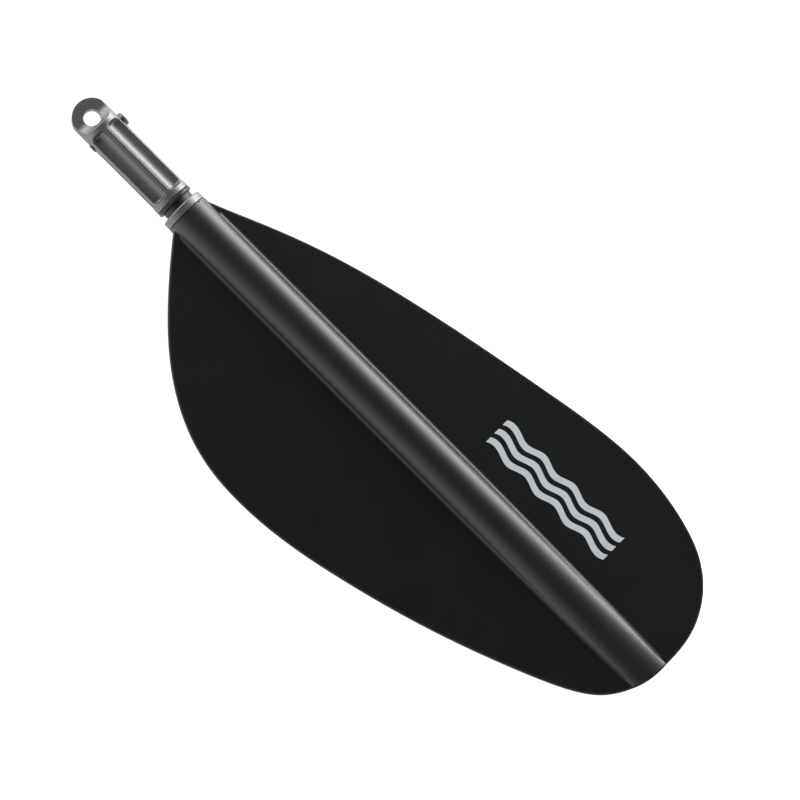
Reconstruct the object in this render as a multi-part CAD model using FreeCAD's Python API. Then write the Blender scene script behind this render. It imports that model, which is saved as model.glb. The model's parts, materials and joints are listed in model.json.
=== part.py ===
import FreeCAD, Part
import math
import os

# Detachable rowing-oar blade: a locking spigot bonded into a round spine tube, with a foam-cored
# blade moulded on either side of the tube. Millimetres. The origin is the centre of the collar's
# shoulder. +X runs along the tube to the blade's tip, +Z is square to the blade, and the snap
# button stands out along +Y, which is also the shallow (upper) side of the blade.

V = FreeCAD.Vector

# ---- spigot ----
barrelR = 13.6          # slides into the oar's shaft
boreR = 7.0             # holds the button's spring
eyeX = -83.0             # centre of the eye at the very end
eyeHoleR = 5.9
tabHalf = 5.0            # half the thickness of the eye's tab
scoopX = -84.9           # where the milled flats start to run out
scoopR = 9.5
boreEndX = -74.5
buttonX = -68.7
buttonR = 4.76
buttonTopR = 16.2        # how far the button's crown stands from the tube's axis
buttonGap = 0.08         # running clearance round the button
buttonCrown = 1.3        # rounding of the button's crown
nubR = 3.12              # the small stud opposite the button, on the spring's other leg
nubTopR = 14.15
nubCrown = 0.5
# the front and the back have two pockets each, side by side, and each side has one;
# a pocket is a round hollow, and narrow ribs are left between the pockets
facePocketAngle = 32.5   # degrees from Z
faceHalfAngle = 27.5
faceHollowR = 7.4
sideHalfAngle = 16.5
sideHollowR = 5.0
pocketLowZ = 8.0         # the pocket's cutter runs between these heights
pocketHighZ = 17.0
pocketCornerShare = 0.62  # a corner's radius as a share of the pocket's half width
pocketEndLean = 0.35     # slope of a pocket's end walls
pocketEndRound = 1.0
pocketSpare = 1.5        # degrees that the block for a pocket's ends is wider than its hollow
pocketRimRound = 0.4
longestRim = 62.0        # a pocket's rim is in stretches, none longer than this
tabRound = 0.4
pocketEndX = -11.6
facePocketStartX = -72.0
sidePocketStartX = -61.5  # short of the cross hole
landR = 13.8             # full-round land between the pockets and the ring groove
landStartX = -10.7
landEndX = -7.4
ringR = 1.6              # section radius of the sealing ring
grooveFloorR = 10.75
neckX = -3.9
neckR = 11.5
collarLength = 6.0
collarR = 15.7
collarChamfer = 0.8
shankR = 13.6
shankEndX = 65.0
glueGrooveXs = (18.0, 34.0, 50.0)
glueGrooveWidth = 5.0
glueGrooveDepth = 0.6
bleedR = 0.65            # adhesive bleed notch in the seam between collar and tube
bleedAngle = 38.0        # degrees from +Z towards +Y
bleedDepth = 1.2
ringGap = 0.1            # between the sealing ring and the groove's wall

# ---- button spring ----
leafHalfWidth = 3.4
leafThickness = 0.8
leafOuterY = 5.9
leafStartX = -73.6
leafStraightX = -61.0
leafBendX = -30.0
leafBendR = 2.4
leafElbow = 0.2          # the strip's inner face turns this much later at the elbow
rivetR = 1.8
rivetHeadR = 2.7
rivetHeadHeight = 0.9
rivetGap = 0.04

# ---- spine tube ----
tubeR = 15.875           # 1 1/4 in tube
tubeWall = 2.0
roundEndX = 200.0        # the tube is drawn by stations beyond this
# station along the tube, half width, half height
taperStations = (
    (roundEndX, tubeR, tubeR),
    (225.0, tubeR, tubeR),
    (255.0, tubeR, 15.65),
    (300.0, 15.80, 14.00),
    (347.0, 15.65, 11.75),
    (380.0, 15.50, 10.15),
    (413.0, 15.35, 8.30),
    (446.0, 15.20, 6.30),
)
plugLength = 10.0        # plugs of the bore and of the tube's end

# ---- blade ----
outlineSteps = 60        # points along a drawn-in outline
# the outline starts and ends inside the tube
upperEdge = (
    (5.4, 13.6), (16.5, 17.9), (30.0, 23.7), (50.0, 32.4), (100.0, 50.8), (150.0, 64.3), (200.0, 75.2),
    (250.0, 84.85), (300.0, 93.2), (330.0, 95.5), (360.0, 93.6), (385.0, 88.4), (405.5, 80.5),
    (421.0, 69.0), (431.4, 55.5), (437.9, 40.2),
)
lowerEdge = (
    (7.3, -14.3), (20.0, -29.7), (40.0, -52.1), (65.0, -75.5), (90.0, -92.6), (115.0, -103.8),
    (140.0, -109.5), (166.0, -110.9), (200.0, -108.4), (250.0, -98.7), (300.0, -85.3),
    (340.0, -72.0), (370.0, -60.5), (394.0, -50.3), (412.5, -40.6), (425.0, -30.6),
    (434.0, -17.4), (439.0, -3.0),
)
tip = (440.37, 11.0)       # where the two stretches meet, within the tube's width
# station along the tube, half thickness beside the tube, half thickness at the far edge
bladeStations = (
    (-10.0, 5.45, 2.30),
    (120.0, 5.40, 2.30),
    (240.0, 5.20, 2.25),
    (320.0, 4.70, 2.20),
    (390.0, 3.90, 2.15),
    (460.0, 3.00, 2.10),
)
innerRuleY = 13.0        # the two ruling lines of a panel's surface
outerRuleY = 113.0
skinThickness = 1.2
guardInset = 1.5         # the guard's full-height edge
guardTongue = 6.0        # the guard's tongue between the skins ends here
guardRound = 1.1
filletLeg = 2.1
filletFlats = 5          # short flats that make up a bead's hollow face
filletSink = 1.2         # how far a bead's hidden corner is let into the tube's wall, along Y
filletDrop = 0.48        # and along Z
filletShare = 0.6        # a bead takes no more of the tube's height above the panel than this
filletEnds = {1: (17.0, 437.0), -1: (12.5, 431.0)}  # first and last station, per side
filletStations = (90.0, 170.0, 200.0, 225.0, 255.0, 300.0, 347.0, 380.0, 413.0)

# ---- decal ----
decalThickness = 0.12
decalStartX = 252.0
decalEndX = 362.0
decalWaveCount = 3
decalFirstY = 35.0
decalPitchY = 8.0
decalHalfWidth = 2.2
decalAmplitude = 1.8
decalCycles = 4

tall = 60.0              # more than the height or width of anything here
near = 0.02              # two lengths closer than this are the same


def cylinder(r, x0, x1):
    return Part.makeCylinder(r, x1 - x0, V(x0, 0, 0), V(1, 0, 0))


def cone(r0, r1, x0, x1):
    return Part.makeCone(r0, r1, x1 - x0, V(x0, 0, 0), V(1, 0, 0))


def box(x0, x1, y0, y1, z0, z1):
    return Part.makeBox(x1 - x0, y1 - y0, z1 - z0, V(x0, y0, z0))


def turned(shape, degrees):
    out = shape.copy()
    out.rotate(V(0, 0, 0), V(1, 0, 0), degrees)
    return out


def flippedZ(shape):
    return shape.mirror(V(0, 0, 0), V(0, 0, 1))


def splineThrough(points):
    curve = Part.BSplineCurve()
    curve.interpolate([V(*p) for p in points])
    return curve.toShape()


def outlineCurve():
    """The blade's outline, from the upper side of its root round the tip to the lower side."""
    points = upperEdge + (tip,) + lowerEdge[::-1]
    curve = Part.BSplineCurve()
    curve.interpolate([V(x, y, 0) for x, y in points])
    return curve


def edgeDrawnIn(side, inset):
    """The outline's upper (1) or lower (-1) stretch as far as the tip, moved inwards by inset."""
    curve = outlineCurve()
    atTip = curve.parameter(V(*tip, 0))
    start, end = (curve.FirstParameter, atTip) if side > 0 else (atTip, curve.LastParameter)
    if not inset:
        return curve.toShape(start, end)
    points = []
    for i in range(outlineSteps + 1):
        t = start + (end - start) * i / outlineSteps
        along = curve.tangent(t)[0]
        points.append(curve.value(t) + V(along.y, -along.x, 0) * inset)
    drawn = Part.BSplineCurve()
    drawn.interpolate(points)
    return drawn.toShape()


def uprightBlock(edges, corners):
    """A tall block over the plan inside a chain of edges, closed by straight lines."""
    lines = [Part.makeLine(a, b) for a, b in zip(corners, corners[1:]) if (a - b).Length > 0.001]
    face = Part.Face(Part.Wire(Part.__sortEdges__(edges + lines)))
    face.translate(V(0, 0, -tall / 2))
    return face.extrude(V(0, 0, tall))


def panelPrism(side, inset):
    """The plan of one panel, closed inside the tube and drawn in by inset, as a tall block."""
    edge = edgeDrawnIn(side, inset)
    first = edge.valueAt(edge.FirstParameter)
    last = edge.valueAt(edge.LastParameter)
    atTip, atRoot = (last, first) if side > 0 else (first, last)
    innerY = 0 if side > 0 else tip[1]
    corners = [atTip, V(atTip.x, innerY, 0), V(atRoot.x, innerY, 0), atRoot]
    return uprightBlock([edge], corners)


def bladePrism(inset):
    """The whole blade's plan, drawn in by inset, as a tall block that cuts the tube's end."""
    upper, lower = edgeDrawnIn(1, inset), edgeDrawnIn(-1, inset)
    corners = [upper.valueAt(upper.FirstParameter), lower.valueAt(lower.LastParameter)]
    return uprightBlock([upper, lower], corners)


def ellipseWire(x, halfWidth, halfHeight):
    curve = Part.Ellipse(V(x, halfWidth, 0), V(x, 0, halfHeight), V(x, 0, 0))
    return Part.Wire(curve.toShape())


def taperedTube(wall, startX):
    """The tube's solid outer shape drawn in by wall: round, then ever flatter."""
    wires = [ellipseWire(x, w - wall, h - wall) for x, w, h in taperStations]
    flat = Part.makeLoft(wires, True, False)
    straight = cylinder(tubeR - wall, startX, roundEndX)
    return straight.fuse(flat)


def slab(drop, side):
    """The block under one panel's front surface, lowered by drop, down to the mid plane and past it."""
    inner = splineThrough([(x, side * innerRuleY, a - drop) for x, a, _ in bladeStations])
    outer = splineThrough([(x, side * outerRuleY, b - drop) for x, _, b in bladeStations])
    face = Part.makeRuledSurface(inner, outer)
    return face.extrude(V(0, 0, -tall / 2))


def between(dropTop, dropBottom, side):
    """The block between a panel's front and back surfaces, each drawn in."""
    return slab(dropTop, side).common(flippedZ(slab(dropBottom, side)))


def surfaceHeight(x, y):
    """Half thickness of a panel, by straight lines between stations."""
    for (xa, a0, a1), (xb, b0, b1) in zip(bladeStations, bladeStations[1:]):
        if x <= xb:
            break
    f = (x - xa) / (xb - xa)
    inner = a0 + f * (b0 - a0)
    outer = a1 + f * (b1 - a1)
    return inner + (abs(y) - innerRuleY) / (outerRuleY - innerRuleY) * (outer - inner)


def tubeSize(x):
    if x <= taperStations[0][0]:
        return tubeR, tubeR
    for (xa, w0, h0), (xb, w1, h1) in zip(taperStations, taperStations[1:]):
        if x <= xb:
            break
    f = (x - xa) / (xb - xa)
    return w0 + f * (w1 - w0), h0 + f * (h1 - h0)


def filletWire(x):
    """Cross-section of a resin bead: a hollow face, and a corner let into the tube's wall."""
    w, h = tubeSize(x)
    z = surfaceHeight(x, w)
    y = w * math.sqrt(1 - (z / h) ** 2)
    topZ = z + min(filletLeg, filletShare * (h - z))
    topY = w * math.sqrt(1 - (topZ / h) ** 2)
    toeY = y + filletLeg
    toe = V(x, toeY, surfaceHeight(x, toeY))
    top = V(x, topY, topZ)
    corner = V(x, y, z)
    hollow = [top * (1 - f) ** 2 + corner * 2 * f * (1 - f) + toe * f * f
              for f in (i / filletFlats for i in range(filletFlats + 1))]
    heel = V(x, y - filletSink, z - filletDrop)
    return Part.makePolygon(hollow + [heel, top])


def largestSolid(shape):
    return max(shape.Solids, key=lambda s: s.Volume)


def oneSolid(shape):
    """Keep the largest solid of a boolean's result, with its split faces joined again."""
    largest = largestSolid(shape)
    merged = largest.removeSplitter()
    return merged.Solids[0] if merged.Solids else largest


# ---------------------------------------------------------------- spigot
def roundedRectangle(x0, x1, halfWidth, r, z):
    """A level rectangle with rounded corners, at height z."""
    k = r * (1 - math.sqrt(0.5))
    w = halfWidth
    corners = (
        ((x1 - r, -w), (x1 - k, k - w), (x1, r - w)),
        ((x1, w - r), (x1 - k, w - k), (x1 - r, w)),
        ((x0 + r, w), (x0 + k, w - k), (x0, w - r)),
        ((x0, r - w), (x0 + k, k - w), (x0 + r, -w)),
    )
    edges = []
    last = corners[-1][-1]
    for corner in corners:
        edges.append(Part.makeLine(V(*last, z), V(*corner[0], z)))
        edges.append(Part.Arc(*[V(*point, z) for point in corner]).toShape())
        last = corner[-1]
    return Part.Wire(edges)


def onRadius(edge, r, axisZ=0.0):
    """Whether an edge lies on a cylinder of radius r along the tube, its axis at height axisZ."""
    return all(abs(math.hypot(q.y, q.z - axisZ) - r) < near for q in edge.discretize(9))


def pocketCutter(startX, halfAngle, hollowR):
    """One pocket centred on +Z: a round hollow with leaning ends and rounded corners."""
    # the block that gives the ends is a little wider than the hollow, which gives the sides
    lean = math.tan(math.radians(halfAngle + pocketSpare))
    rimZ = barrelR * math.cos(math.radians(halfAngle))
    rimY = barrelR * math.sin(math.radians(halfAngle))
    axisZ = rimZ + math.sqrt(hollowR ** 2 - rimY ** 2)
    wires = []
    for z in (pocketLowZ, pocketHighZ):
        spread = (z - rimZ) * pocketEndLean
        corner = pocketCornerShare * z * lean
        wires.append(roundedRectangle(startX - spread, pocketEndX + spread, z * lean, corner, z))
    hollow = cylinder(hollowR, startX - tall, pocketEndX + tall)
    hollow.translate(V(0, 0, axisZ))
    cutter = oneSolid(Part.makeLoft(wires, True, True).common(hollow))
    floor = [e for e in cutter.Edges if onRadius(e, hollowR, axisZ) and e.BoundBox.ZMin < rimZ - 1]
    ends = [e for e in floor if abs(e.tangentAt(e.FirstParameter).x) < 0.99]
    return cutter.makeFillet(pocketEndRound, ends).Solids[0]


def pocketedBarrel():
    """The barrel with its ring of pockets, their rims slightly rounded."""
    body = cylinder(barrelR, eyeX - barrelR - 1, landEndX)
    face = pocketCutter(facePocketStartX, faceHalfAngle, faceHollowR)
    side = pocketCutter(sidePocketStartX, sideHalfAngle, sideHollowR)
    for angle in (facePocketAngle, -facePocketAngle, 180 - facePocketAngle, facePocketAngle - 180):
        body = body.cut(turned(face, angle))
    for angle in (90, -90):
        body = body.cut(turned(side, angle))
    rims = [e for e in body.Edges if onRadius(e, barrelR) and e.Length < longestRim]
    rims = [e for e in rims if eyeX < e.CenterOfMass.x < landEndX - 1]
    return oneSolid(body.makeFillet(pocketRimRound, rims))


def spigotBody():
    plan = Part.makeCylinder(barrelR, tall, V(eyeX, 0, -tall / 2))
    plan = plan.fuse(box(eyeX, landEndX, -barrelR, barrelR, -tall / 2, tall / 2))
    body = pocketedBarrel().common(plan)
    for side in (1, -1):
        flat = box(eyeX - 2 * barrelR, scoopX, -tall, tall, tabHalf, tall)
        scoop = Part.makeCylinder(scoopR, 2 * tall, V(scoopX, -tall, tabHalf + scoopR), V(0, 1, 0))
        for cutter in (flat, scoop):
            body = body.cut(cutter if side > 0 else flippedZ(cutter))
    body = body.cut(Part.makeCylinder(eyeHoleR, tall, V(eyeX, 0, -tall / 2)))
    body = softenedTab(oneSolid(body))
    body = body.fuse(cylinder(landR, landStartX, landEndX))
    body = body.fuse(cylinder(grooveFloorR, landEndX, neckX))
    body = body.fuse(cylinder(neckR, neckX, 0))
    body = body.fuse(collar())
    body = body.fuse(cylinder(shankR, collarLength, shankEndX))
    for x in glueGrooveXs:
        groove = cylinder(tubeR, x, x + glueGrooveWidth)
        body = body.cut(groove.cut(cylinder(shankR - glueGrooveDepth, x, x + glueGrooveWidth)))
    body = body.cut(cylinder(boreR, boreEndX, shankEndX + 1))
    body = body.cut(Part.makeCylinder(buttonR + buttonGap, tall, V(buttonX, 0, 0), V(0, 1, 0)))
    body = body.cut(Part.makeCylinder(nubR + buttonGap, tall, V(buttonX, 0, 0), V(0, -1, 0)))
    return oneSolid(body.cut(bleedNotch()))


def softenedTab(body):
    """Round the edges of the eye, of its tab and of the run-outs, and the barrel's end."""
    edges = [e for e in body.Edges if e.BoundBox.XMax < facePocketStartX - 1.5 and e.Length > 1]
    return body.makeFillet(tabRound, edges)


def collar():
    middle = cylinder(collarR, collarChamfer, collarLength - collarChamfer)
    low = cone(collarR - collarChamfer, collarR, 0, collarChamfer)
    high = cone(collarR, collarR - collarChamfer, collarLength - collarChamfer, collarLength)
    return low.fuse(middle).fuse(high)


def bleedNotch():
    pin = Part.makeCylinder(bleedR, tall, V(collarLength, 0, tubeR - bleedDepth), V(0, 0, 1))
    return turned(pin, -bleedAngle)


def sealRing():
    return Part.makeTorus(grooveFloorR + ringR, ringR, V(landEndX + ringR + ringGap, 0, 0), V(1, 0, 0))


def crossStud(r, crownR, crownRound):
    """A stud on +Y that stands on one leg of the spring, riveted through it."""
    head = Part.makeCylinder(r, crownR - leafOuterY, V(buttonX, leafOuterY, 0), V(0, 1, 0))
    rim = [e for e in head.Edges if abs(e.CenterOfMass.y - crownR) < 0.01 and e.Length > r]
    head = head.makeFillet(crownRound, rim)
    rivetInY = leafOuterY - leafThickness
    rivet = Part.makeCylinder(rivetR, leafThickness, V(buttonX, rivetInY, 0), V(0, 1, 0))
    peenEnd = V(buttonX, rivetInY - rivetHeadHeight, 0)
    peen = Part.makeCone(rivetR, rivetHeadR, rivetHeadHeight, peenEnd, V(0, 1, 0))
    return oneSolid(head.fuse(rivet).fuse(peen))


def snapButton():
    return crossStud(buttonR, buttonTopR, buttonCrown)


def locatingNub():
    # the nub hardly stands out of the barrel, so its crown is hardly rounded
    return crossStud(nubR, nubTopR, nubCrown).mirror(V(0, 0, 0), V(0, 1, 0))


def buttonSpring():
    """A V of flat strip: two legs that press the button and the nub outwards, joined by a bend."""
    t = leafThickness
    outer = [
        V(leafStartX, leafOuterY, 0), V(leafStraightX, leafOuterY, 0), V(leafBendX, leafBendR, 0),
        V(leafBendX + leafBendR, 0, 0), V(leafBendX, -leafBendR, 0),
        V(leafStraightX, -leafOuterY, 0), V(leafStartX, -leafOuterY, 0),
    ]
    bendIn = leafBendR - t
    elbowX = leafStraightX - leafElbow
    inner = [
        V(leafStartX, t - leafOuterY, 0), V(elbowX, t - leafOuterY, 0), V(leafBendX, -bendIn, 0),
        V(leafBendX + bendIn, 0, 0), V(leafBendX, bendIn, 0),
        V(elbowX, leafOuterY - t, 0), V(leafStartX, leafOuterY - t, 0),
    ]
    edges = []
    for run in (outer, inner):
        edges += [Part.makeLine(run[0], run[1]), Part.makeLine(run[1], run[2])]
        edges += [Part.Arc(run[2], run[3], run[4]).toShape()]
        edges += [Part.makeLine(run[4], run[5]), Part.makeLine(run[5], run[6])]
    edges += [Part.makeLine(outer[-1], inner[0]), Part.makeLine(inner[-1], outer[0])]
    face = Part.Face(Part.Wire(Part.__sortEdges__(edges)))
    face.translate(V(0, 0, -leafHalfWidth))
    strip = face.extrude(V(0, 0, 2 * leafHalfWidth))
    for direction in (1, -1):
        strip = strip.cut(Part.makeCylinder(rivetR + rivetGap, tall, V(buttonX, 0, 0), V(0, direction, 0)))
    return oneSolid(strip)


# ---------------------------------------------------------------- build
def roundedPanel(side):
    """One whole panel, with its two outermost edges rounded."""
    block = oneSolid(between(0, 0, side).common(panelPrism(side, 0)))
    reach = max(abs(y) for _, y in (upperEdge if side > 0 else lowerEdge)) - guardInset
    rims = [e for e in block.Edges if max(side * q.y for q in e.discretize(60)) > reach and e.Length > reach]
    return block.makeFillet(guardRound, rims)


nodes = {}
spigot = spigotBody()
nodes["spigot_body"] = spigot
nodes["shaft_seal_ring"] = sealRing()
nodes["snap_button"] = snapButton()
nodes["button_spring"] = buttonSpring()
nodes["locating_nub"] = locatingNub()
nodes["bore_plug"] = cylinder(boreR, shankEndX - plugLength, shankEndX)

tubeOuter = taperedTube(0, collarLength)
tubeInner = taperedTube(tubeWall, collarLength)
tubeAndCollar = taperedTube(0, 0)
tubeBlank = tubeOuter.cut(tubeInner)
endWhole, endDrawn, endDeep = bladePrism(0), bladePrism(guardInset), bladePrism(plugLength)
nearEnd = box(collarLength - 1, roundEndX, -tall, tall, -tall, tall)

nodes["bond_sleeve"] = oneSolid(cylinder(tubeR - tubeWall, collarLength, shankEndX).cut(spigot)
                                .cut(cylinder(boreR + 1, collarLength - 1, shankEndX + 1)))
nodes["spine_tube"] = oneSolid(tubeBlank.common(endDrawn.fuse(nearEnd)).cut(bleedNotch()))
deep = endDeep.fuse(nearEnd)
nodes["spine_core"] = oneSolid(tubeInner.common(deep).cut(cylinder(tubeR, 0, shankEndX)))
capRim = tubeOuter.common(endWhole.cut(nearEnd)).cut(endDrawn)
capPlug = tubeInner.common(endDrawn.cut(nearEnd)).cut(endDeep)
nodes["tip_cap"] = oneSolid(capRim.fuse(capPlug))

for name, side in (("upper", 1), ("lower", -1)):
    drawn, deep = panelPrism(side, guardInset), panelPrism(side, guardTongue)
    sideBox = box(-tall, 500, 0 if side > 0 else -200, 200 if side > 0 else 0, -tall, tall)
    skin = slab(0, side).cut(slab(skinThickness, side)).common(drawn).common(sideBox).cut(tubeAndCollar)
    front = oneSolid(skin)
    nodes["front_skin_" + name] = front
    nodes["back_skin_" + name] = flippedZ(front)
    inside = between(skinThickness, skinThickness, side).common(sideBox)
    nodes["core_" + name] = oneSolid(inside.common(deep).cut(tubeAndCollar))
    guard = roundedPanel(side).cut(deep)
    for underSkin in (slab(skinThickness, side), flippedZ(slab(skinThickness, side))):
        guard = guard.cut(drawn.cut(underSkin))
    nodes["edge_guard_" + name] = largestSolid(guard.cut(tubeAndCollar))
    first, last = filletEnds[side]
    bead = Part.makeLoft([filletWire(x) for x in (first,) + filletStations + (last,)], True, True)
    if side < 0:
        bead = bead.mirror(V(0, 0, 0), V(0, 1, 0))
    nodes["front_fillet_" + name] = bead
    nodes["back_fillet_" + name] = flippedZ(bead)


def waveDecal():
    """Level wave lines in thin film, lying on the front of the upper skin."""
    film = slab(-decalThickness, 1).cut(slab(0, 1))
    bars = []
    steps = decalCycles * 4
    for i in range(decalWaveCount):
        line = []
        for k in range(steps + 1):
            x = decalStartX + (decalEndX - decalStartX) * k / steps
            y = decalFirstY + i * decalPitchY + decalAmplitude * math.sin(math.pi / 2 * k)
            line.append((x, y))
        low = splineThrough([(x, y - decalHalfWidth, 0) for x, y in line])
        high = splineThrough([(x, y + decalHalfWidth, 0) for x, y in line])
        bar = Part.makeRuledSurface(low, high).extrude(V(0, 0, tall / 2))
        bars.append(film.common(bar).Solids[0])
    return Part.makeCompound(bars)


nodes["wave_decal"] = waveDecal()

os.makedirs("parts", exist_ok=True)
for name, shape in nodes.items():
    shape.exportStep("parts/" + name + ".step")
    bounds = shape.BoundBox
    print(
        f"{name}: solids {len(shape.Solids)} valid {shape.isValid()} volume {shape.Volume:.1f}"
        f" x {bounds.XMin:.2f}..{bounds.XMax:.2f} y {bounds.YMin:.2f}..{bounds.YMax:.2f}"
        f" z {bounds.ZMin:.2f}..{bounds.ZMax:.2f} {shape.ShapeType}"
    )
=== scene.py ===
import bpy
import json
import math
import numpy as np
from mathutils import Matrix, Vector


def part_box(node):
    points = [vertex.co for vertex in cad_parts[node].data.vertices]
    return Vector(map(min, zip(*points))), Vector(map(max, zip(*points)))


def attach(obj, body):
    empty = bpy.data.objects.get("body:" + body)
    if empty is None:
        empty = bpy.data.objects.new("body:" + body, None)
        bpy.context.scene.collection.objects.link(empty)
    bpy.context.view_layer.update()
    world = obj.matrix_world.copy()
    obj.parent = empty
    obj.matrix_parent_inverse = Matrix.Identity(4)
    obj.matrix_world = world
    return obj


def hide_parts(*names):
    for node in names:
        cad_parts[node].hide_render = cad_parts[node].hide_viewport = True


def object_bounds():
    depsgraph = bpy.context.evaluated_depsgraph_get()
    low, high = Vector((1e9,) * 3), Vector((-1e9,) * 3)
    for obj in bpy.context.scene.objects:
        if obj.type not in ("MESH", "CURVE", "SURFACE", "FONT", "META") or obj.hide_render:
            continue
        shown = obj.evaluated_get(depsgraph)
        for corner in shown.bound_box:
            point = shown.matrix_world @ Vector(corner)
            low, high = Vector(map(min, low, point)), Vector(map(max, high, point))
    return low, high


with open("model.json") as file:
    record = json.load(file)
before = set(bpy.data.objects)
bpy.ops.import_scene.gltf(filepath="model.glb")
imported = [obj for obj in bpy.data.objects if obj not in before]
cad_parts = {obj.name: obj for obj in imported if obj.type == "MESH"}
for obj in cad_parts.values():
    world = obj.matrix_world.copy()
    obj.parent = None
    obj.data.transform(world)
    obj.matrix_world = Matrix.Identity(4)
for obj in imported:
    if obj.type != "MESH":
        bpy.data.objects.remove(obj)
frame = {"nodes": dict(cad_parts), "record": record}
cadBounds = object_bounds()
nodes = frame["nodes"]
print("frame loaded:", len(nodes), "CAD nodes")


# a shader socket that takes part in plain expressions
class Wire:
    def __init__(self, shader, socket):
        self.shader = shader
        self.socket = socket

    def __add__(self, other):
        return self.shader.calc("ADD", self, other)

    def __sub__(self, other):
        return self.shader.calc("SUBTRACT", self, other)

    def __rsub__(self, other):
        return self.shader.calc("SUBTRACT", other, self)

    def __mul__(self, other):
        return self.shader.calc("MULTIPLY", self, other)

    def __pow__(self, other):
        return self.shader.calc("POWER", self, other)

    __radd__ = __add__
    __rmul__ = __mul__


# a node tree: node() makes any node, and the rest are short ways to the ones used most
class Shader:
    def __init__(self, tree):
        self.tree = tree
        tree.nodes.clear()

    def node(self, kind, settings=None, sockets=None, output=0):
        made = self.tree.nodes.new("ShaderNode" + kind)
        for name, value in (settings or {}).items():
            if name == "stops":
                for i, (position, color) in enumerate(value):
                    stop = made.color_ramp.elements[i] if i < 2 else made.color_ramp.elements.new(position)
                    stop.position = position
                    stop.color = color
            else:
                setattr(made, name, value)
        for name, value in (sockets or {}).items():
            if isinstance(value, Wire):
                self.tree.links.new(value.socket, made.inputs[name])
            else:
                made.inputs[name].default_value = value
        return Wire(self, made.outputs[output] if made.outputs else None)

    def calc(self, operation, *values):
        return self.node("Math", {"operation": operation}, dict(enumerate(values)))

    # 0 below low, 1 above high, smooth between
    def step(self, value, low, high):
        ends = {"From Min": low, "From Max": high}
        return self.node("MapRange", {"interpolation_type": "SMOOTHSTEP"}, {"Value": value, **ends})

    # the Mix node's colours are its sockets 6 and 7, and its output 2
    def mix(self, factor, first, second):
        sockets = {"Factor": factor, 6: first, 7: second}
        return self.node("Mix", {"data_type": "RGBA"}, sockets, output=2)

    # a tone that varies by a share either way of its own level
    def vary(self, factor, tint, level, share):
        return self.mix(factor, tint(level * (1 - share)), tint(level * (1 + share)))

    def noise(self, place, scale, detail=2.0, roughness=0.5):
        sockets = {"Vector": place, "Scale": scale, "Detail": detail, "Roughness": roughness}
        return self.node("TexNoise", {}, sockets)

    # position in metres in the part's own frame: output 3 is Object
    def place(self, stretch=(1, 1, 1)):
        where = self.node("TexCoord", output=3)
        if stretch == (1, 1, 1):
            return where
        return self.node("VectorMath", {"operation": "MULTIPLY"}, {0: where, 1: stretch})

    def split(self, vector):
        parts = self.node("SeparateXYZ", {}, {0: vector})
        return [Wire(self, out) for out in parts.socket.node.outputs]

    # relief of a depth in metres, laid over a coarser one where under is given
    def bump(self, height, distance, under=None):
        sockets = {"Height": height, "Distance": distance}
        if under:
            sockets["Normal"] = under
        return self.node("Bump", {}, sockets)

    # a wave along one coordinate, from 0 to 1
    def wave(self, value, perMetre):
        return self.calc("SINE", value * (2 * math.pi * perMetre)) * 0.5 + 0.5


def grey(level):
    return (level, level, level, 1.0)


# a slightly cool grey, as daylight lamps give
def cool(level):
    return (level * 0.94, level * 0.97, level, 1.0)


def newMaterial(name, build):
    material = bpy.data.materials.new(name)
    material.use_nodes = True
    shader = Shader(material.node_tree)
    surface = shader.node("BsdfPrincipled", {}, build(shader))
    shader.node("OutputMaterial", {}, {"Surface": surface})
    return material


# the neck runs from the sealing ring to the collar's shoulder, which is the frame's origin
metalFinish = {
    "base": 0.22, "toneSpread": 0.1, "roughness": 0.48, "cloudSpread": 0.08, "grainSpread": 0.04,
    "grainPerMetre": 3200.0, "grainDepth": 0.000003, "turnsPerMetre": 2600.0, "turnDepth": 0.0000015,
    "cloudPerMetre": 90.0, "cloudShare": 0.7, "streakPerMetre": 240.0, "streakStretch": (6, 1, 1),
    "neckFrom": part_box("shaft_seal_ring")[0].x, "neckTo": 0.0, "neckEdge": 0.0003,
    # painted shade in the neck groove: how dark it is, and the radii below which it falls
    "neckShade": 0.3, "neckShadeFrom": 0.0118, "neckShadeTo": 0.0128,
}


# dark hard-anodised metal, blasted with fine beads, with faint rings left by turning, and painted shade in
# the neck groove
def blastedMetal(s):
    f = metalFinish
    where = s.place()
    x, y, z = s.split(where)
    grain = s.noise(where, f["grainPerMetre"], 3.0, 0.6)
    cloud = s.noise(where, f["cloudPerMetre"], 3.0)
    streak = s.noise(s.place(f["streakStretch"]), f["streakPerMetre"], 2.0)
    turned = s.wave(x, f["turnsPerMetre"])
    blotch = cloud * f["cloudShare"] + streak * (1 - f["cloudShare"])
    tone = s.vary(blotch, grey, f["base"], f["toneSpread"])
    # painted shade: the neck between the ring groove and the collar is darkened below a radius, as the shade
    # that falls in this deep groove
    radius = (y * y + z * z) ** 0.5
    pastNeck = s.step(x, f["neckTo"], f["neckTo"] + f["neckEdge"])
    neck = s.step(x, f["neckFrom"], f["neckFrom"] + f["neckEdge"]) * (1.0 - pastNeck)
    paintedNeckShade = neck * (1.0 - s.step(radius, f["neckShadeFrom"], f["neckShadeTo"]))
    rough = f["roughness"] + (cloud - 0.5) * f["cloudSpread"] + (grain - 0.5) * f["grainSpread"]
    return {
        # painted shade darkens the base colour in the neck groove
        "Base Color": s.mix(paintedNeckShade, tone, grey(f["base"] * f["neckShade"])),
        "Metallic": 1.0,
        "Roughness": rough,
        "Normal": s.bump(grain, f["grainDepth"], s.bump(turned, f["turnDepth"])),
    }


tubeFinish = {
    "base": 0.003, "toneSpread": 0.2, "ior": 1.8,
    "roughness": 0.42, "cloudSpread": 0.04, "grainSpread": 0.06, "wrapSpread": 0.02,
    "wrapsPerMetre": 260.0, "wrapSlope": 0.55, "wrapRadius": 0.016,
    "grainPerMetre": 1500.0, "grainStretch": (1, 3, 3), "grainDepth": 0.000005, "cloudPerMetre": 60.0,
}


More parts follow.
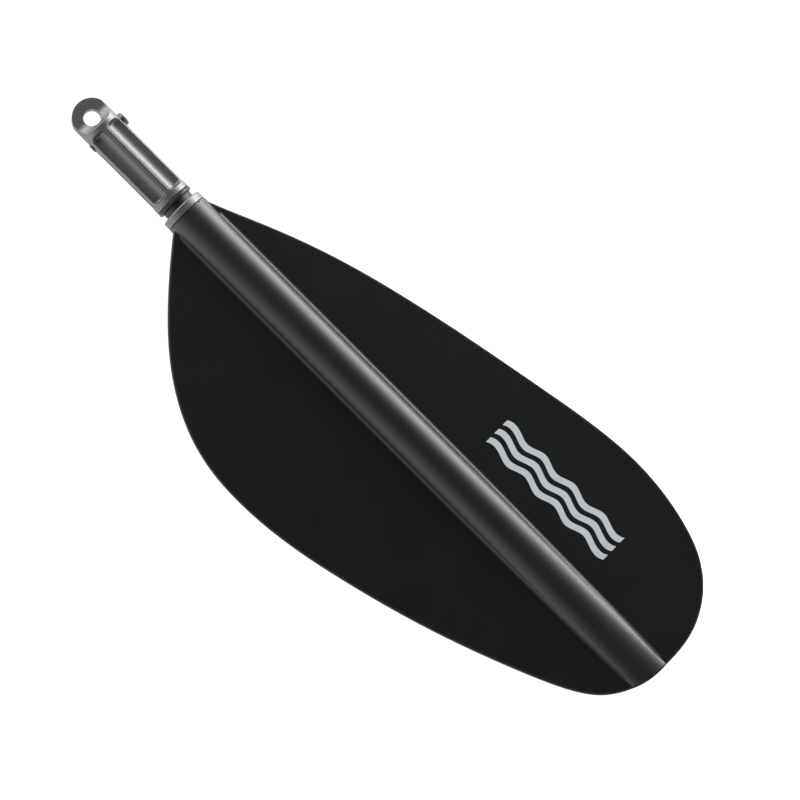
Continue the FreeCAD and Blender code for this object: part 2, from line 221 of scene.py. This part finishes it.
# black composite tube, sanded satin: wound tows cross under the surface and show only in its sheen
def satinTube(s):
    f = tubeFinish
    where = s.place()
    x, y, z = s.split(where)
    around = s.calc("ARCTAN2", y, z) * f["wrapSlope"] * f["wrapRadius"]
    wraps = s.wave(x + around, f["wrapsPerMetre"]) * s.wave(x - around, f["wrapsPerMetre"])
    grain = s.noise(s.place(f["grainStretch"]), f["grainPerMetre"], 3.0)
    cloud = s.noise(where, f["cloudPerMetre"], 2.0)
    rough = f["roughness"] + (cloud - 0.5) * f["cloudSpread"] + (grain - 0.5) * f["grainSpread"]
    return {
        "Base Color": s.vary(wraps, cool, f["base"], f["toneSpread"]),
        "Roughness": rough + (wraps - 0.5) * f["wrapSpread"],
        "IOR": f["ior"],
        "Normal": s.bump(grain, f["grainDepth"]),
    }


skinFinish = {
    "base": 0.0095, "toneSpread": 0.3, "cloudShare": 0.6, "level": 0.28,
    "roughness": 0.48, "cloudSpread": 0.06, "grainSpread": 0.08, "twillSpread": 0.03,
    "towsPerMetre": 420.0, "towDepth": 0.000006,
    "grainPerMetre": 2200.0, "grainDepth": 0.000006, "cloudPerMetre": 30.0,
}


# black composite face with the faint print of a twill cloth, laid at 45 degrees to the tube
def mattSkin(s):
    f = skinFinish
    where = s.place()
    x, y = s.split(where)[:2]
    twill = s.wave(x + y, f["towsPerMetre"]) * s.wave(x - y, f["towsPerMetre"])
    grain = s.noise(where, f["grainPerMetre"], 3.0)
    cloud = s.noise(where, f["cloudPerMetre"], 4.0, 0.6)
    pattern = cloud * f["cloudShare"] + twill * (1 - f["cloudShare"])
    rough = f["roughness"] + (cloud - 0.5) * f["cloudSpread"] + (grain - 0.5) * f["grainSpread"]
    return {
        "Base Color": s.vary(pattern, cool, f["base"], f["toneSpread"]),
        "Roughness": rough + (twill - 0.5) * f["twillSpread"],
        "Specular IOR Level": f["level"],
        "Normal": s.bump(grain, f["grainDepth"], s.bump(twill, f["towDepth"])),
    }


# the smaller pieces share one finish, a fine grain and a slow cloud of tone, with values of their own
grainedFinish = {
    "metallic": 0.0, "level": 0.5, "toneSpread": 0.2, "grainSpread": 0.1, "cloudSpread": 0.06,
    "grainPerMetre": 1800.0, "cloudPerMetre": 90.0, "grainDepth": 0.000005,
}
grainedPieces = {
    "seal_rubber": {"name": "sealRubber", "base": 0.012, "roughness": 0.34},
    "button_steel": {
        "name": "buttonSteel", "base": 0.13, "roughness": 0.42, "metallic": 1.0, "grainDepth": 0.000001,
    },
    "spring_steel": {"name": "springSteel", "base": 0.5, "roughness": 0.3, "metallic": 1.0},
    "nub_steel": {
        "name": "nubSteel", "base": 0.07, "roughness": 0.4, "metallic": 1.0, "grainDepth": 0.000002,
    },
    "plug_nylon": {"name": "plugNylon", "base": 0.03, "roughness": 0.5},
    "bond_resin": {"name": "bondResin", "base": 0.006, "roughness": 0.5, "level": 0.2},
    "core_foam": {"name": "coreFoam", "base": 0.75, "roughness": 0.8},
    "fillet_resin": {"name": "filletResin", "base": 0.004, "roughness": 0.44, "level": 0.85},
    "guard_plastic": {"name": "guardPlastic", "base": 0.02, "roughness": 0.45, "level": 0.4},
    "decal_film": {"name": "decalFilm", "base": 0.74, "roughness": 0.4, "level": 0.4},
}


def grained(f):
    def build(s):
        where = s.place()
        fine = s.noise(where, f["grainPerMetre"], 3.0)
        cloud = s.noise(where, f["cloudPerMetre"], 3.0)
        return {
            "Base Color": s.vary(cloud * 0.5 + fine * 0.5, cool, f["base"], f["toneSpread"]),
            "Metallic": f["metallic"],
            "Roughness": f["roughness"] + (fine - 0.5) * f["grainSpread"] + (cloud - 0.5) * f["cloudSpread"],
            "Specular IOR Level": f["level"],
            "Normal": s.bump(fine, f["grainDepth"]),
        }
    return build


finishes = {
    "spigot_metal": newMaterial("blastedMetal", blastedMetal),
    "tube_composite": newMaterial("satinTube", satinTube),
    "skin_composite": newMaterial("mattSkin", mattSkin),
}
for slot, piece in grainedPieces.items():
    finishes[slot] = newMaterial(piece["name"], grained({**grainedFinish, **piece}))
for part in frame["record"]["subparts"]:
    mesh = nodes[part["node"]].data
    mesh.materials.clear()
    mesh.materials.append(finishes[part["material_slot"]])
print("materials made:", len(finishes))


# a smooth mesh on the blade, in the finish of a slot, that stands for a CAD node
def addPiece(name, points, faces, slot, node):
    mesh = bpy.data.meshes.new(name)
    mesh.from_pydata(points, [], faces)
    mesh.polygons.foreach_set("use_smooth", [True] * len(faces))
    mesh.update()
    mesh.materials.append(finishes[slot])
    piece = bpy.data.objects.new(name, mesh)
    bpy.context.scene.collection.objects.link(piece)
    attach(piece, "blade")
    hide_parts(node)


# faces between rings of count points each
def bands(rings, count):
    faces = []
    for i in range(rings):
        for k in range(count):
            n = (k + 1) % count
            faces.append((i * count + k, i * count + n, (i + 1) * count + n, (i + 1) * count + k))
    return faces


# the spine tube is one smooth skin, whose sizes are read off the CAD tube along its length; the bleed
# notch is a half round bite out of its first ring, and its last ring follows the blade's end
tubeSkin = {
    "step": 0.004, "sides": 144, "sample": 0.001, "blur": 0.016, "tipGap": 0.012, "slopeSamples": 19,
    "notchRadius": 0.00085, "notchAngle": 38.0, "notchPoints": 13, "notchReach": 1.3,
    "endInset": 0.985, "endBack": 0.01, "searchBack": 0.06, "halvings": 14, "outside": 0.1,
}


# distance from the tube's axis to the node's outer surface at x, along a direction across the tube
def reach(node, x, direction):
    axisPoint, outwards = Vector((x, 0, 0)), Vector(direction)
    hit, place, _, _ = nodes[node].ray_cast(axisPoint + outwards * tubeSkin["outside"], -outwards)
    return (place - axisPoint).dot(outwards) if hit else 0.0


# running mean whose ends carry on at their own slope
def blurred(values, steps):
    before = 2 * values[0] - values[steps:0:-1]
    after = 2 * values[-1] - values[-2:-steps - 2:-1]
    kernel = np.ones(2 * steps + 1) / (2 * steps + 1)
    return np.convolve(np.concatenate([before, values, after]), kernel, "valid")


# half width and half height of the tube along its length, with the facets smoothed away
def tubeProfile():
    start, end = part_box("spine_tube")
    sample, slopeSamples = tubeSkin["sample"], tubeSkin["slopeSamples"]
    xs = np.arange(start.x + sample, end.x - tubeSkin["tipGap"], sample)
    sides = [[reach("spine_tube", x, (0, y, 0)) for x in xs] for y in (1, -1)]
    tops = np.array([reach("spine_tube", x, (0, 0, 1)) for x in xs])
    more = slopeSamples * np.array([1, 2])   # two places beyond the last sample
    profile = [np.concatenate([xs, xs[-1] + more * sample])]
    for values, limit in ((np.max(sides, axis=0), end.y), (tops, end.z)):
        for _ in range(2):
            values = blurred(values, int(tubeSkin["blur"] / sample))
        slope = (values[-1] - values[-1 - slopeSamples]) / slopeSamples
        profile.append(np.minimum(np.concatenate([values, values[-1] + slope * more]), limit))
    return profile


# where the tube stops at a place across it: the last x at which the CAD tube still has a top
def tubeEnd(y):
    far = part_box("spine_tube")[1].x + tubeSkin["sample"]
    near = far - tubeSkin["searchBack"]
    for _ in range(tubeSkin["halvings"]):
        middle = (near + far) / 2
        above = Vector((middle, y, tubeSkin["outside"]))
        hit = nodes["spine_tube"].ray_cast(above, Vector((0, 0, -1)))[0]
        near, far = (middle, far) if hit else (near, middle)
    return near


def buildTube(profile):
    start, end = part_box("spine_tube")
    xs, widths, heights = profile
    notch = math.radians(tubeSkin["notchAngle"])
    halfNotch = tubeSkin["notchReach"] * tubeSkin["notchRadius"] / end.z
    angles = np.linspace(0, 2 * math.pi, tubeSkin["sides"], endpoint=False)
    angles = angles[np.abs(angles - notch) > halfNotch]
    notchAngles = notch + np.linspace(-halfNotch, halfNotch, tubeSkin["notchPoints"])
    angles = np.sort(np.concatenate([angles, notchAngles]))
    rings = int((end.x - start.x) / tubeSkin["step"])
    shares = np.arange(rings + 1)[:, None] / rings
    endWidth = np.interp(end.x - tubeSkin["endBack"], xs, widths) * tubeSkin["endInset"]
    ends = np.array([tubeEnd(y) for y in np.sin(angles) * endWidth])
    offsets = (angles - notch) * end.z
    starts = start.x + np.sqrt(np.maximum(tubeSkin["notchRadius"] ** 2 - offsets ** 2, 0))
    along = starts + (ends - starts) * shares
    across = np.interp(along, xs, widths) * np.sin(angles)
    up = np.interp(along, xs, heights) * np.cos(angles)
    points = np.stack([along, across, up], axis=-1).reshape(-1, 3).tolist()
    addPiece("spineTubeSkin", points, bands(rings, len(angles)), "tube_composite", "spine_tube")


tubeSizes = tubeProfile()
buildTube(tubeSizes)
print("spine tube skinned")

# a bead of resin is a hollow fillet between the tube and a face, which runs out to nothing at both ends
bead = {
    "leg": 0.0021, "dropShare": 0.6, "runOut": 0.007, "leastShare": 0.02, "step": 0.003, "flats": 8,
    "sink": 0.001, "hide": 0.00004, "clear": 0.001,
}


def faceHeight(node, x, y):
    above = Vector((x, y, tubeSkin["outside"]))
    hit, place, _, _ = nodes[node].ray_cast(above, Vector((0, 0, -1)))
    return place.z if hit else None


# points round one cross-section: the hollow face from the tube down to the toe, then the hidden heel
def beadLoop(skin, side, x, width, height, leg):
    level = faceHeight(skin, x, side * (width + bead["clear"]))
    if level is None:
        return None
    topLevel = level + min(leg, bead["dropShare"] * (height - level))
    tubeSide, topSide = (width * math.sqrt(1 - (z / height) ** 2) for z in (level, topLevel))
    corner = np.array((tubeSide, level))
    top = np.array((topSide - bead["hide"], topLevel))
    toe = corner + (leg, -bead["hide"])
    shares = np.linspace(0, 1, bead["flats"] + 1)[:, None]
    hollow = top * (1 - shares) ** 2 + corner * 2 * shares * (1 - shares) + toe * shares ** 2
    heel = corner - (bead["sink"], bead["sink"] / 2)
    return [(x, side * y, z) for y, z in [*hollow, heel]]


def buildBead(face, name, side, profile):
    node = f"{face}_fillet_{name}"
    start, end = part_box(node)[0].x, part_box(node)[1].x
    xs, widths, heights = profile
    loops = []
    for x in np.linspace(start, end, int((end - start) / bead["step"])):
        runOut = min(1, max(bead["leastShare"], min(x - start, end - x) / bead["runOut"]))
        leg = bead["leg"] * math.sin(math.pi / 2 * runOut)
        width, height = np.interp(x, xs, widths), np.interp(x, xs, heights)
        loop = beadLoop("front_skin_" + name, side, x, width, height, leg)
        if loop:
            loops.append(loop)
    up = 1 if face == "front" else -1
    count = len(loops[0])
    points = [(x, y, up * z) for loop in loops for x, y, z in loop]
    firstCap = tuple(reversed(range(count)))
    lastCap = tuple(range(len(points) - count, len(points)))
    faces = [firstCap, lastCap, *bands(len(loops) - 1, count)]
    if side * up > 0:
        faces = [f[::-1] for f in faces]
    addPiece(f"{face}Bead{name.title()}", points, faces, "fillet_resin", node)


for face in ("front", "back"):
    for name, side in (("upper", 1), ("lower", -1)):
        buildBead(face, name, side, tubeSizes)
print("resin beads built")

# the camera looks down on the blade, tilted a little, with the tube running down to the right
view = {
    "distance": 2.5, "tilt": 8.0, "frameWidth": 0.5292, "sensor": 36.0, "clipEnd": 50.0,
    "centreX": 0.1923, "centreY": 0.0127,
}


def placeCamera():
    tilt = math.radians(view["tilt"])
    towards = Vector((0, -math.sin(tilt), math.cos(tilt)))
    alongX = Vector((1, 0, 0))
    alongY = towards.cross(alongX)
    right = (alongX + alongY).normalized()
    up = (alongY - alongX).normalized()
    data = bpy.data.cameras.new("camera")
    data.sensor_width = view["sensor"]
    data.lens = view["sensor"] * view["distance"] / view["frameWidth"]
    data.clip_end = view["clipEnd"]
    camera = bpy.data.objects.new("camera", data)
    bpy.context.scene.collection.objects.link(camera)
    place = Vector((view["centreX"], view["centreY"], 0)) + towards * view["distance"]
    matrix = camera.matrix_world.copy()
    for row in range(3):
        for column, axis in enumerate((right, up, towards, place)):
            matrix[row][column] = axis[row]
    camera.matrix_world = matrix
    bpy.context.scene.camera = camera


# painted light: the floor glows on its own, and its glow fades up into brighter pools towards the side box
# and towards the end box, between these distances
floorGlow = {
    "shade": 1.15, "lit": 3.5, "sideFrom": 0.0, "sideTo": 0.16, "endFrom": 0.09, "endTo": 0.2,
    "half": 12.0, "gap": 0.0005,
}


def layFloor():
    half, level = floorGlow["half"], cadBounds[0][2] - floorGlow["gap"]
    mesh = bpy.data.meshes.new("floor")
    corners = [(x, y, level) for x, y in ((-half, -half), (half, -half), (half, half), (-half, half))]
    mesh.from_pydata(corners, [], [(0, 1, 2, 3)])
    floor = bpy.data.objects.new("floor", mesh)
    bpy.context.scene.collection.objects.link(floor)
    material = bpy.data.materials.new("glowingFloor")
    material.use_nodes = True
    s = Shader(material.node_tree)
    x, y = s.split(s.place())[:2]
    # painted pools of light on the floor, towards the side box and the end box
    side = s.step(y, floorGlow["sideFrom"], floorGlow["sideTo"])
    end = s.step(0.0 - x, floorGlow["endFrom"], floorGlow["endTo"])
    color = s.mix(s.calc("MAXIMUM", side, end), grey(floorGlow["shade"]), grey(floorGlow["lit"]))
    glow = s.node("Emission", {}, {"Color": color, "Strength": 1.0})
    s.node("OutputMaterial", {}, {"Surface": glow})
    mesh.materials.append(material)


# radiance of the studio's walls by the sine of their elevation: the dark wall is the one towards +Y, and
# the pale one is all round the rest. Both fade to the ground's level at the horizon
studio = {
    "ground": 1.2,
    "darkWall": ((0.5, 1.2), (0.63, 0.25), (0.71, 0.06), (0.875, 0.03), (1.0, 0.03)),
    "paleWall": (
        (0.5, 0.7), (0.6, 0.5), (0.73, 0.46), (0.78, 0.26), (0.84, 0.06), (0.925, 0.04), (1.0, 0.04),
    ),
    "paleUpTo": 0.25, "darkFrom": 0.75,
}


# a world's Generated coordinates are the direction itself, so z is the sine of the elevation
def lightWorld():
    world = bpy.data.worlds.new("studio")
    world.use_nodes = True
    bpy.context.scene.world = world
    s = Shader(world.node_tree)
    y, z = s.split(s.node("TexCoord", output=0))[1:]
    walls = []
    for side in ("darkWall", "paleWall"):
        stops = [(0.0, grey(studio["ground"])), *((sine, cool(level)) for sine, level in studio[side])]
        walls.append(s.node("ValToRGB", {"stops": stops}, {"Fac": z}))
    pale = 1.0 - s.step(y, studio["paleUpTo"], studio["darkFrom"])
    back = s.node("Background", {}, {"Color": s.mix(pale, walls[0], walls[1]), "Strength": 1.0})
    s.node("OutputWorld", {}, {"Surface": back})


# soft boxes: a broad one and a low narrow one beside the button, and one above the eye's end
softboxes = {
    "sideBox": {"place": (0.17, 1.9, 0.5), "aim": (0.17, 0, 0), "size": (2.6, 1.0), "radiance": 2.7},
    "lowBox": {"place": (0.17, 1.9, 0.13), "aim": (0.17, 0, 0), "size": (2.6, 0.28), "radiance": 8.5},
    "endBox": {"place": (-1.45, 0, 0.95), "aim": (0, 0, 0), "size": (1.2, 1.1), "radiance": 3.6},
}


def addSoftbox(name, box):
    data = bpy.data.lights.new(name, "AREA")
    data.shape = "RECTANGLE"
    width, height = box["size"]
    data.size, data.size_y = width, height
    data.energy = box["radiance"] * math.pi * width * height
    data.color = cool(1.0)[:3]
    light = bpy.data.objects.new(name, data)
    light.location = box["place"]
    light.rotation_euler = (Vector(box["aim"]) - Vector(box["place"])).to_track_quat("-Z", "Y").to_euler()
    light.visible_camera = False
    bpy.context.scene.collection.objects.link(light)


placeCamera()
layFloor()
lightWorld()
for name, box in softboxes.items():
    addSoftbox(name, box)
bpy.context.scene.view_settings.view_transform = "Standard"
print("camera, floor and light placed")
